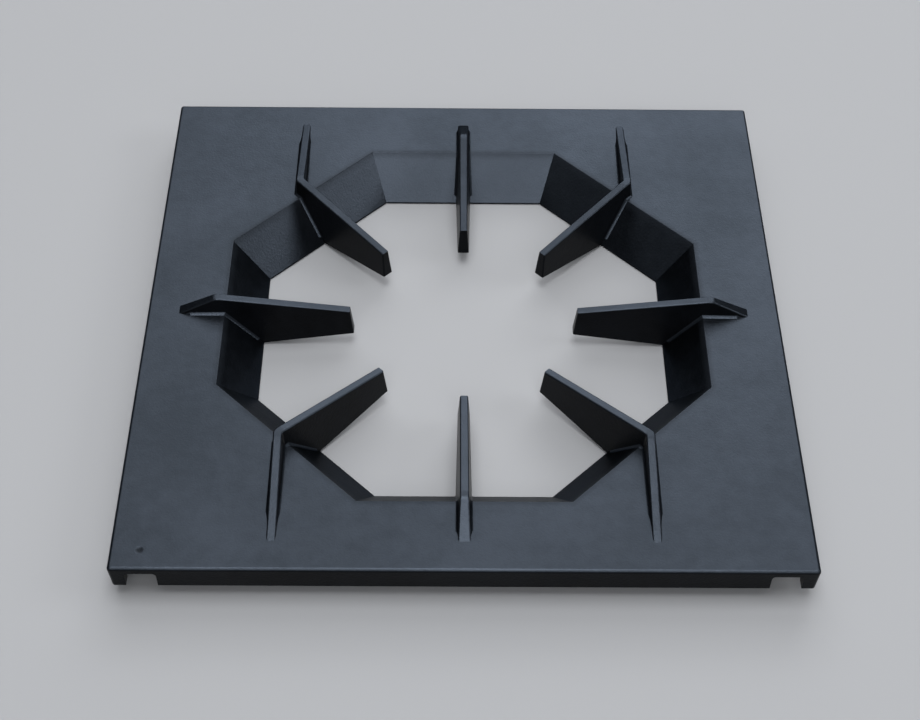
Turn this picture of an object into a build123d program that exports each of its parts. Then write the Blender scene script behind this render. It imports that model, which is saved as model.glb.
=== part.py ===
from build123d import *
from math import cos, radians, sin, sqrt, tan
import os

# Pan support for one open burner of a commercial gas hob, cast in iron as one piece: a square
# plate with a turned-down skirt, an octagonal funnel collar round the burner opening, and eight
# ribs that start as ramps on the plate and reach in over the burner as fingers.
# Millimetres, +Z up. The origin is under the middle of the opening, level with the collar's
# lower edge; the front of the hob is -Y.

# Plate and skirt
PLATE_SIDE = 400.0
PLATE_THICKNESS = 5.0
PLATE_EDGE_RADIUS = 2.0
SKIRT_HEIGHT = 17.0
SKIRT_WALL = 6.0
SKIRT_DRAFT = 4.0
UNDERSIDE_RADIUS = 3.0

# Notches in the front and back skirt, one beside each corner
NOTCH_FROM_SIDE = 9.0
NOTCH_WIDTH = 18.0
NOTCH_CORNER_RADIUS = 2.5

# Burner opening and its funnel collar
LAND_WIDTH = 48.7
COLLAR_DEPTH = 27.0
COLLAR_INSET = 24.5
COLLAR_WALL = 6.0
OPENING_EDGE_RADIUS = 1.0
COLLAR_LIP_RADIUS = 1.0

# Ribs, heights taken from the top of the plate
TIP_REACH = 72.0
TIP_LEAN = 2.0
TIP_RISE = 1.5
TIP_DROP = 17.0
CREST_RISE = 12.0
CREST_FLAT = 4.0
CREST_RADIUS = 6.0
FOOT_FROM_SIDE = 20.0
UNDERCUT = 1.5
TIP_THICKNESS = 5.0
RIB_DRAFT = 3.8
RIB_TAPER = 0.6
RIB_EDGE_RADIUS = 1.0
BEND_ANGLE = 45.0
BEND_OUTER_RADIUS = 4.0
BEND_INNER_RADIUS = 2.0
ROOT_RADIUS = 2.5

# Levels and reaches that follow from the sizes above
PLATE_TOP = COLLAR_DEPTH
SKIRT_LOW = PLATE_TOP - SKIRT_HEIGHT
OPENING_REACH = PLATE_SIDE / 2 - LAND_WIDTH
MOUTH_REACH = OPENING_REACH - COLLAR_INSET
COLLAR_SLOPE = COLLAR_INSET / COLLAR_DEPTH
COLLAR_WALL_ACROSS = COLLAR_WALL * sqrt(1 + COLLAR_SLOPE**2)
CREST_LEVEL = PLATE_TOP + CREST_RISE
FOOT_REACH = PLATE_SIDE / 2 - FOOT_FROM_SIDE
BURIED_LEVEL = PLATE_TOP - 0.7 * PLATE_THICKNESS


def half_thickness(reach, level):
    """Half the thickness of a rib at a reach from the middle and a level."""
    taper = tan(radians(RIB_TAPER)) * (reach - TIP_REACH)
    return TIP_THICKNESS / 2 + taper + tan(radians(RIB_DRAFT)) * (PLATE_TOP + TIP_RISE - level)


# The crest stands back from the opening by the room a bent rib needs for its root
ROOT_HALF_WIDTH = half_thickness(OPENING_REACH, PLATE_TOP) + ROOT_RADIUS
CREST_REACH = OPENING_REACH + ROOT_HALF_WIDTH * tan(radians(BEND_ANGLE / 2)) + ROOT_RADIUS / 2
BENT_RUN = FOOT_REACH - CREST_REACH * cos(radians(BEND_ANGLE))


def above_lip_rounded(block, radius):
    """Block with every edge rounded but those of its lowest face."""
    return fillet(block.edges() - block.edges().group_by(Axis.Z)[0], radius)


def skirted_plate():
    """Square plate with a drafted skirt all round, hollow underneath and open at the bottom."""
    # The drafted sides start a little wide, so that the rounded edge comes out at the full side
    widening = PLATE_EDGE_RADIUS * (1 / tan(radians(45 - SKIRT_DRAFT / 2)) - 1)
    top_side = PLATE_SIDE + 2 * widening
    low_side = top_side - 2 * SKIRT_HEIGHT * tan(radians(SKIRT_DRAFT))
    top = Pos(Z=PLATE_TOP) * Rectangle(top_side, top_side)
    plate = extrude(top, amount=-SKIRT_HEIGHT, taper=SKIRT_DRAFT)

    hollow_side = low_side - 2 * SKIRT_WALL
    mouth = Pos(Z=SKIRT_LOW) * Rectangle(hollow_side, hollow_side)
    hollow = extrude(mouth, amount=SKIRT_HEIGHT - PLATE_THICKNESS, taper=SKIRT_DRAFT)
    return above_lip_rounded(plate, PLATE_EDGE_RADIUS) - above_lip_rounded(hollow, UNDERSIDE_RADIUS)


def skirt_notches():
    """Cutters for the four notches, open at the bottom and rounded at the top."""
    height = 2 * (SKIRT_HEIGHT - PLATE_THICKNESS)
    outline = RectangleRounded(NOTCH_WIDTH, height, NOTCH_CORNER_RADIUS)
    cutter = extrude(Plane.XZ * outline, amount=2 * SKIRT_WALL, both=True)
    x = PLATE_SIDE / 2 - NOTCH_FROM_SIDE - NOTCH_WIDTH / 2
    y = PLATE_SIDE / 2 - SKIRT_WALL
    return [Pos(sx * x, sy * y, SKIRT_LOW) * cutter for sx in (-1, 1) for sy in (-1, 1)]


def collar_reach(level):
    """Reach of the middle of each inner collar face at a level."""
    return MOUTH_REACH + COLLAR_SLOPE * level


def funnel(outset, low, high):
    """Octagonal funnel that follows the collar's inner faces, moved out by the outset."""
    solid = Pos(Z=(low + high) / 2) * Box(2 * PLATE_SIDE, 2 * PLATE_SIDE, high - low)
    side = Plane(origin=(MOUTH_REACH + outset, 0, 0), z_dir=(1, 0, -COLLAR_SLOPE))
    for _ in range(8):
        solid = Rot(Z=45) * split(solid, bisect_by=side, keep=Keep.BOTTOM)
    return solid


def collared_plate():
    """Plate with the burner opening cut and the funnel collar hung below it."""
    solid = skirted_plate() + funnel(COLLAR_WALL_ACROSS, 0, PLATE_TOP)
    solid -= skirt_notches()
    solid -= funnel(0, -PLATE_THICKNESS, PLATE_TOP + PLATE_THICKNESS)

    opening_edge = solid.faces().sort_by(Axis.Z)[-1].inner_wires()[0].edges()
    solid = fillet(opening_edge, OPENING_EDGE_RADIUS)
    lip = solid.faces().sort_by(Axis.Z)[0].edges()
    return fillet(lip, COLLAR_LIP_RADIUS)


def rib_blank(outline, rounding):
    """Upright slab with the given (reach, level) outline; rounding maps corner index to radius."""
    face = make_face(Polyline(*outline, close=True))
    for index, radius in rounding.items():
        corner = face.vertices().sort_by_distance((*outline[index], 0))[0]
        face = fillet(corner, radius)
    return extrude(Plane.XZ * face, amount=5 * TIP_THICKNESS, both=True)


def drafted(blank):
    """Slab cut to its two flanks, which draft with the level and taper towards the tip."""
    for side in (-1, 1):
        flank = Plane(
            origin=(TIP_REACH, side * TIP_THICKNESS / 2, PLATE_TOP + TIP_RISE),
            z_dir=(-tan(radians(RIB_TAPER)), side, tan(radians(RIB_DRAFT))),
        )
        blank = split(blank, bisect_by=flank, keep=Keep.BOTTOM)
    return blank


def edges_rounded(rib):
    """Rib with its long top edges and the two upright edges of its tip rounded."""
    top = rib.faces().filter_by(lambda face: face.normal_at().Z > 0.8).sort_by(SortBy.AREA)[-1]
    tip = rib.faces().sort_by(Axis.X)[0]
    along = top.edges().sort_by(SortBy.LENGTH)[-2:]
    upright = tip.edges().sort_by(Axis.Z)[1:3]
    return fillet(along + upright, RIB_EDGE_RADIUS)


def finger_outline(flat):
    """Corners (reach, level) of a finger from inside the collar round the tip to the crest's flat."""
    return [
        (collar_reach(BURIED_LEVEL) + COLLAR_WALL_ACROSS / 3, BURIED_LEVEL),
        (collar_reach(UNDERCUT) + COLLAR_WALL_ACROSS / 3, UNDERCUT),
        (TIP_REACH - TIP_LEAN, PLATE_TOP - TIP_DROP),
        (TIP_REACH, PLATE_TOP + TIP_RISE),
        (CREST_REACH - flat, CREST_LEVEL),
    ]


def ramp_outline(direction, run, flat):
    """Corners (reach, level) of a ramp from the crest's flat to its end inside the plate."""
    grade = CREST_RISE / (run - flat)
    overrun = min(PLATE_THICKNESS / 2, 0.5 * PLATE_THICKNESS / grade)
    end = CREST_REACH + direction * (run + overrun)
    return [
        (CREST_REACH + direction * flat, CREST_LEVEL),
        (end, PLATE_TOP - grade * overrun),
        (end, BURIED_LEVEL),
    ]


def straight_rib():
    """Rib along +X with its finger and ramp in one line."""
    flat = CREST_FLAT / 2
    outline = finger_outline(flat) + ramp_outline(1, FOOT_REACH - CREST_REACH, flat)
    blank = rib_blank(outline, {4: CREST_RADIUS, 5: CREST_RADIUS})
    return edges_rounded(drafted(blank))


def bent_rib():
    """Rib with its finger along +X and its ramp turned left at the crest."""
    half_bend = radians(BEND_ANGLE / 2)
    mitre = Plane(origin=(CREST_REACH, 0, 0), z_dir=(cos(half_bend), sin(half_bend), 0))
    # The flat of each leg starts where the inner sides meet
    flat = CREST_FLAT / 2 + half_thickness(CREST_REACH, CREST_LEVEL) * tan(half_bend)
    past_mitre = CREST_REACH + 4 * TIP_THICKNESS
    crest_block = [(past_mitre, CREST_LEVEL), (past_mitre, BURIED_LEVEL)]

    # The ramp is drawn back along the finger and mirrored, so both share one mitre section
    finger = rib_blank(finger_outline(flat) + crest_block, {4: CREST_RADIUS})
    ramp = rib_blank(ramp_outline(-1, BENT_RUN, flat) + crest_block[::-1], {0: CREST_RADIUS})
    finger, ramp = [split(drafted(blank), bisect_by=mitre, keep=Keep.BOTTOM) for blank in (finger, ramp)]
    rib = finger + mirror(ramp, about=mitre)

    def on_mitre(edge):
        return abs(mitre.to_local_coords(edge @ 0.5).Z) < 0.01

    rib = fillet(rib.edges().filter_by(on_mitre).sort_by(Axis.Y)[0], BEND_OUTER_RADIUS)
    rib = fillet(rib.edges().filter_by(on_mitre).sort_by(Axis.Y)[-1], BEND_INNER_RADIUS)
    return edges_rounded(rib)


def root_section(origin, across, up, half_width, sunk=0.0):
    """Bell-shaped face that widens the foot of a rib by the root radius, sunk into the casting."""
    bite = 0.05 * ROOT_RADIUS
    neck = half_width - ROOT_RADIUS * tan(radians(RIB_DRAFT)) - bite
    flare = neck + ROOT_RADIUS
    bow = ROOT_RADIUS * (1 - sqrt(0.5))
    base = -0.25 * PLATE_THICKNESS

    def point(s, n):
        return Vector(origin) + Vector(across) * s + Vector(up) * (n - sunk - bite)

    outline = [
        Line(point(-neck, ROOT_RADIUS), point(neck, ROOT_RADIUS)),
        ThreePointArc(point(neck, ROOT_RADIUS), point(neck + bow, bow), point(flare, 0)),
        Polyline(point(flare, 0), point(flare, base), point(-flare, base), point(-flare, 0)),
        ThreePointArc(point(-flare, 0), point(-neck - bow, bow), point(-neck, ROOT_RADIUS)),
    ]
    return make_face(outline)


def rib_root(plate_sections):
    """Flare where a rib grows from the plate and, past the opening edge, from the collar."""
    sideways = (0, 1, 0)
    normal_z = COLLAR_SLOPE / sqrt(1 + COLLAR_SLOPE**2)
    over_edge = (-sqrt(1 - normal_z**2) / (1 + normal_z), 0, 1)
    into_wall = (-sqrt(1 + COLLAR_SLOPE**2), 0, 0)

    edge = (OPENING_REACH, 0, PLATE_TOP)
    edge_half = half_thickness(OPENING_REACH, PLATE_TOP)
    sections = plate_sections + [root_section(edge, sideways, over_edge, edge_half)]
    for level, sunk in ((0.2 * COLLAR_DEPTH, 0.0), (0.1 * COLLAR_DEPTH, ROOT_RADIUS)):
        reach = collar_reach(level)
        half = half_thickness(reach, level)
        sections.append(root_section((reach, 0, level), sideways, into_wall, half, sunk))
    return loft(sections, ruled=True)


def shoulder(run):
    """Distance from the crest along a ramp to where it is just high enough for a full root."""
    return run * (1 - (ROOT_RADIUS + RIB_EDGE_RADIUS) / CREST_RISE)


def straight_root():
    """Root flare of a straight rib, sinking away at the foot of the ramp."""
    run = FOOT_REACH - CREST_REACH
    sections = []
    for distance, sunk in ((run, ROOT_RADIUS), (shoulder(run), 0.0)):
        reach = CREST_REACH + distance
        half = half_thickness(reach, PLATE_TOP)
        sections.append(root_section((reach, 0, PLATE_TOP), (0, 1, 0), (0, 0, 1), half, sunk))
    return rib_root(sections)


def bent_root():
    """Root flare of a bent rib, turned at the mitre and sinking away at the foot of the ramp."""
    bend, half_bend = radians(BEND_ANGLE), radians(BEND_ANGLE / 2)
    up = (0, 0, 1)
    sections = []
    for distance, sunk in ((BENT_RUN, ROOT_RADIUS), (shoulder(BENT_RUN), 0.0)):
        place = (CREST_REACH + distance * cos(bend), distance * sin(bend), PLATE_TOP)
        half = half_thickness(CREST_REACH - distance, PLATE_TOP)
        sections.append(root_section(place, (-sin(bend), cos(bend), 0), up, half, sunk))
    mitre_half = half_thickness(CREST_REACH, PLATE_TOP) - BEND_OUTER_RADIUS * (1 - cos(half_bend))
    sections.append(root_section((CREST_REACH, 0, PLATE_TOP), (-tan(half_bend), 1, 0), up, mitre_half))
    return rib_root(sections)


def ribs():
    """All eight ribs with their roots: straight ones on the axes, bent ones between them."""
    straight = [straight_rib(), straight_root()]
    left = [bent_rib(), bent_root()]
    right = [mirror(piece, about=Plane.XZ) for piece in left]
    placed = []
    for quarter in (0, 90, 180, 270):
        diagonal = left if quarter in (0, 180) else right
        placed += [Rot(Z=quarter) * piece for piece in straight]
        placed += [Rot(Z=quarter + 45) * piece for piece in diagonal]
    return placed


pan_support = collared_plate() + ribs()

os.makedirs("parts", exist_ok=True)
export_step(pan_support, "parts/pan_support.step")
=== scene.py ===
from math import pi, radians, sqrt

import bpy
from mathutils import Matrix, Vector


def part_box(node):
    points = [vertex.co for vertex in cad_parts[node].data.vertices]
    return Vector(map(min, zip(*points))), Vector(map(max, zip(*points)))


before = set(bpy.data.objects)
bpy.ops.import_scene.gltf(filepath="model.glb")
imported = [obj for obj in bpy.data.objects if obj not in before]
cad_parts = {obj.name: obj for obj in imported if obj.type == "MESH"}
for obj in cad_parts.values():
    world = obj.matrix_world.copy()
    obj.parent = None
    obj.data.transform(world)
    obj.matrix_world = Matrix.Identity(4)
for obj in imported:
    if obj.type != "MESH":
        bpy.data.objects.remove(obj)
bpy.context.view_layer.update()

# The casting: one piece of grey iron poured in a sand mould, plate, skirt, collar and eight ribs
# together, shot-blasted and finished in thin satin black. The sand leaves a fine grain all over,
# and the black lies a little uneven on it.


class Shade:
    """A socket of a shader tree; arithmetic adds Math nodes, and node() adds any other node."""

    def __init__(self, socket):
        self.socket = socket
        self.tree = socket.id_data

    def node(self, kind, settings, inputs, output=0):
        made = self.tree.nodes.new("ShaderNode" + kind)
        for name, value in settings.items():
            setattr(made, name, value)
        for name, value in inputs.items():
            if isinstance(value, Shade):
                self.tree.links.new(value.socket, made.inputs[name])
            else:
                made.inputs[name].default_value = value
        return Shade(made.outputs[output])

    def math(self, operation, first, second):
        return self.node("Math", {"operation": operation}, {0: first, 1: second})

    def __add__(self, other):
        return self.math("ADD", self, other)

    def __radd__(self, other):
        return self.math("ADD", other, self)

    def __sub__(self, other):
        return self.math("SUBTRACT", self, other)

    def __rsub__(self, other):
        return self.math("SUBTRACT", other, self)

    def __mul__(self, other):
        return self.math("MULTIPLY", self, other)

    def __rmul__(self, other):
        return self.math("MULTIPLY", other, self)

    def __abs__(self):
        return self.math("ABSOLUTE", self, 0)


def fade(value, none, full):
    """0 where the value has reached none, 1 where it has reached full, even between."""
    return value.node("MapRange", {}, {"Value": value, "From Min": none, "From Max": full})


def blended(share, first, second):
    """The first colour where the share is 0, the second where it is 1."""
    colour_a, colour_b, colour_out = 6, 7, 2
    inputs = {0: share, colour_a: first, colour_b: second}
    return share.node("Mix", {"data_type": "RGBA"}, inputs, colour_out)


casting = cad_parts["pan_support"]
black_iron = bpy.data.materials.new("satin_black_iron")
black_iron.use_nodes = True
links = black_iron.node_tree.links
finish = black_iron.node_tree.nodes["Principled BSDF"]
coordinates = black_iron.node_tree.nodes.new("ShaderNodeTexCoord")
place = Shade(coordinates.outputs["Object"])
facing = Shade(coordinates.outputs["Normal"])


def sand_noise(size, detail, roughness):
    """Noise from 0 to 1 whose lumps are about the given size in metres."""
    inputs = {"Vector": place, "Scale": 1 / size, "Detail": detail, "Roughness": roughness}
    return place.node("TexNoise", {"noise_dimensions": "3D"}, inputs)


grain = sand_noise(size=0.0014, detail=3, roughness=0.6)
lumps = sand_noise(size=0.009, detail=3, roughness=0.55)
clouds = sand_noise(size=0.06, detail=2, roughness=0.5)

# A blow hole about 4 mm across that the pour left near the front left corner of the plate
plate_top = 0.027
blow_hole = (-0.183, -0.187, plate_top)
from_hole = place.node("VectorMath", {"operation": "DISTANCE"}, {0: place, 1: blow_hole}, "Value")
pit = fade(from_hole, none=0.0026, full=0.0010)

# Painted sheen and shade: faces turned up are made a lighter metallic blue-grey, upright flanks a
# darker black
upward = facing.node("SeparateXYZ", {}, {"Vector": facing}, "Z")
painted_sheen_up = fade(upward, none=0.25, full=0.60)

# A narrow band along the rim of the octagonal opening is made darker and less shiny, but not the
# ribs
half_opening = 0.1513
from_middle_x = abs(place.node("SeparateXYZ", {}, {"Vector": place}, "X"))
from_middle_y = abs(place.node("SeparateXYZ", {}, {"Vector": place}, "Y"))
height = place.node("SeparateXYZ", {}, {"Vector": place}, "Z")
square_reach = place.math("MAXIMUM", from_middle_x, from_middle_y)
slanted_reach = (from_middle_x + from_middle_y) * sqrt(0.5)
off_rim = abs(place.math("MAXIMUM", square_reach, slanted_reach) - half_opening)
rim_band = fade(off_rim, none=0.0035, full=0.0005)
below_ribs = fade(height, none=plate_top + 0.0015, full=plate_top + 0.0002)
rim_dulling = rim_band * below_ribs

# Painted sheen on the upward faces, lessened in the blow hole and in the darker rim band
pit_dulls = 0.65
rim_dulls = 0.22
painted_sheen_and_pit = painted_sheen_up * (1 - pit * pit_dulls) * (1 - rim_dulling * rim_dulls)
links.new(painted_sheen_and_pit.socket, finish.inputs["Metallic"])

# The black lies thick in some places and thin, so a little lighter, in others
matt_thick = (0.003, 0.0035, 0.0045, 1)
matt_thin = (0.006, 0.007, 0.009, 1)
# The lighter blue-grey pair is the colour of the painted sheen on upward faces
painted_sheen_thick = (0.038, 0.046, 0.058, 1)
painted_sheen_thin = (0.049, 0.059, 0.075, 1)
patches = clouds * 0.5 + lumps * 0.35 + grain * 0.15
thinness = fade(patches, none=0.38, full=0.62)
matt_black = blended(thinness, matt_thick, matt_thin)
painted_sheen_colour = blended(thinness, painted_sheen_thick, painted_sheen_thin)
links.new(blended(painted_sheen_and_pit, matt_black, painted_sheen_colour).socket, finish.inputs["Base Color"])

# The finish is satin, and its gloss is weak, also where it is seen at a slant
smoothest = 0.27
gloss_index = 1.2
slant_tint = (0.38, 0.38, 0.38, 1)
satin = smoothest + lumps * 0.08 + grain * 0.08
links.new(satin.socket, finish.inputs["Roughness"])
finish.inputs["IOR"].default_value = gloss_index
finish.inputs["Specular Tint"].default_value = slant_tint

# The relief that the sand leaves, with the blow hole sunk twice as deep
sand_depth = 0.0006
sand_strength = 0.35
hole_depth = 2.0
relief = grain * 0.6 + lumps * 0.4 - pit * hole_depth
bump_inputs = {"Strength": sand_strength, "Distance": sand_depth, "Height": relief}
links.new(relief.node("Bump", {}, bump_inputs).socket, finish.inputs["Normal"])

for slot in casting.material_slots:
    slot.material = black_iron

# The floor: a plain pale sheet that the casting stands on, seen through the burner opening and
# all round the skirt.
floor_size = 60.0
pale = (0.46, 0.47, 0.49, 1)

sheet = bpy.data.meshes.new("floor")
half = floor_size / 2
corners = [(-half, -half, 0), (half, -half, 0), (half, half, 0), (-half, half, 0)]
sheet.from_pydata(corners, [], [(0, 1, 2, 3)])
floor = bpy.data.objects.new("floor", sheet)
floor.location.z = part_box("pan_support")[0].z
bpy.context.scene.collection.objects.link(floor)

floor_paint = bpy.data.materials.new("pale_floor")
floor_paint.use_nodes = True
paint = floor_paint.node_tree.nodes["Principled BSDF"].inputs
paint["Base Color"].default_value = pale
paint["Roughness"].default_value = 0.9
paint["Specular IOR Level"].default_value = 0.0
sheet.materials.append(floor_paint)

# The studio: broad soft panels behind and overhead, smaller ones in front and on the right, and
# only a weak one on the left. The room is dim, with a paler foot to its walls.
wall_foot = (0.22, 0.225, 0.235, 1)
wall_top = (0.02, 0.022, 0.026, 1)

room = bpy.data.worlds.new("studio")
room.use_nodes = True
room_nodes = room.node_tree.nodes
outward = Shade(room_nodes.new("ShaderNodeTexCoord").outputs["Generated"])
climb = outward.node("SeparateXYZ", {}, {"Vector": outward}, "Z")
walls = blended(fade(climb, none=0.0, full=0.12), wall_foot, wall_top)
room.node_tree.links.new(walls.socket, room_nodes["Background"].inputs["Color"])
bpy.context.scene.world = room


def panel(name, spot, wide, tall, brightness):
    """Soft panel turned to the casting, where a mirror would show it at the given brightness."""
    lamp = bpy.data.lights.new(name, "AREA")
    lamp.shape = "RECTANGLE"
    lamp.size = wide
    lamp.size_y = tall
    lamp.energy = brightness * pi * wide * tall
    stand = bpy.data.objects.new(name, lamp)
    stand.location = spot
    stand.rotation_euler = (-Vector(spot)).to_track_quat("-Z", "Y").to_euler()
    stand.visible_camera = False
    bpy.context.scene.collection.objects.link(stand)


panel("panel_back", (0.0, 2.95, 3.05), wide=5.0, tall=3.0, brightness=1.45)
panel("panel_back_low", (0.85, 3.73, 1.93), wide=3.3, tall=1.9, brightness=2.25)
panel("panel_over", (0.0, -0.30, 4.25), wide=2.25, tall=3.0, brightness=4.5)
panel("panel_front", (0.0, -2.95, 3.05), wide=2.25, tall=1.75, brightness=3.25)
panel("panel_front_low", (0.0, -3.75, 1.90), wide=3.5, tall=1.5, brightness=0.7)
panel("panel_right", (3.60, 0.0, 2.25), wide=2.0, tall=1.5, brightness=3.15)
panel("panel_left", (-3.60, 0.0, 2.25), wide=2.0, tall=1.5, brightness=0.33)

# The camera: on a stand in front of the hob and well above it, turned down at the burner opening,
# with a lens somewhat longer than a normal one, so that the casting fills most of the frame.
eye = bpy.data.cameras.new("camera")
eye.sensor_fit = "HORIZONTAL"
eye.sensor_width = 36.0
eye.lens = 69.09
camera = bpy.data.objects.new("camera", eye)
camera.location = (-0.0106, -0.7723, 0.8379)
camera.rotation_euler = (radians(42.02), radians(-0.55), radians(-0.03))
bpy.context.scene.collection.objects.link(camera)
bpy.context.scene.camera = camera
bpy.context.scene.view_settings.view_transform = "Standard"
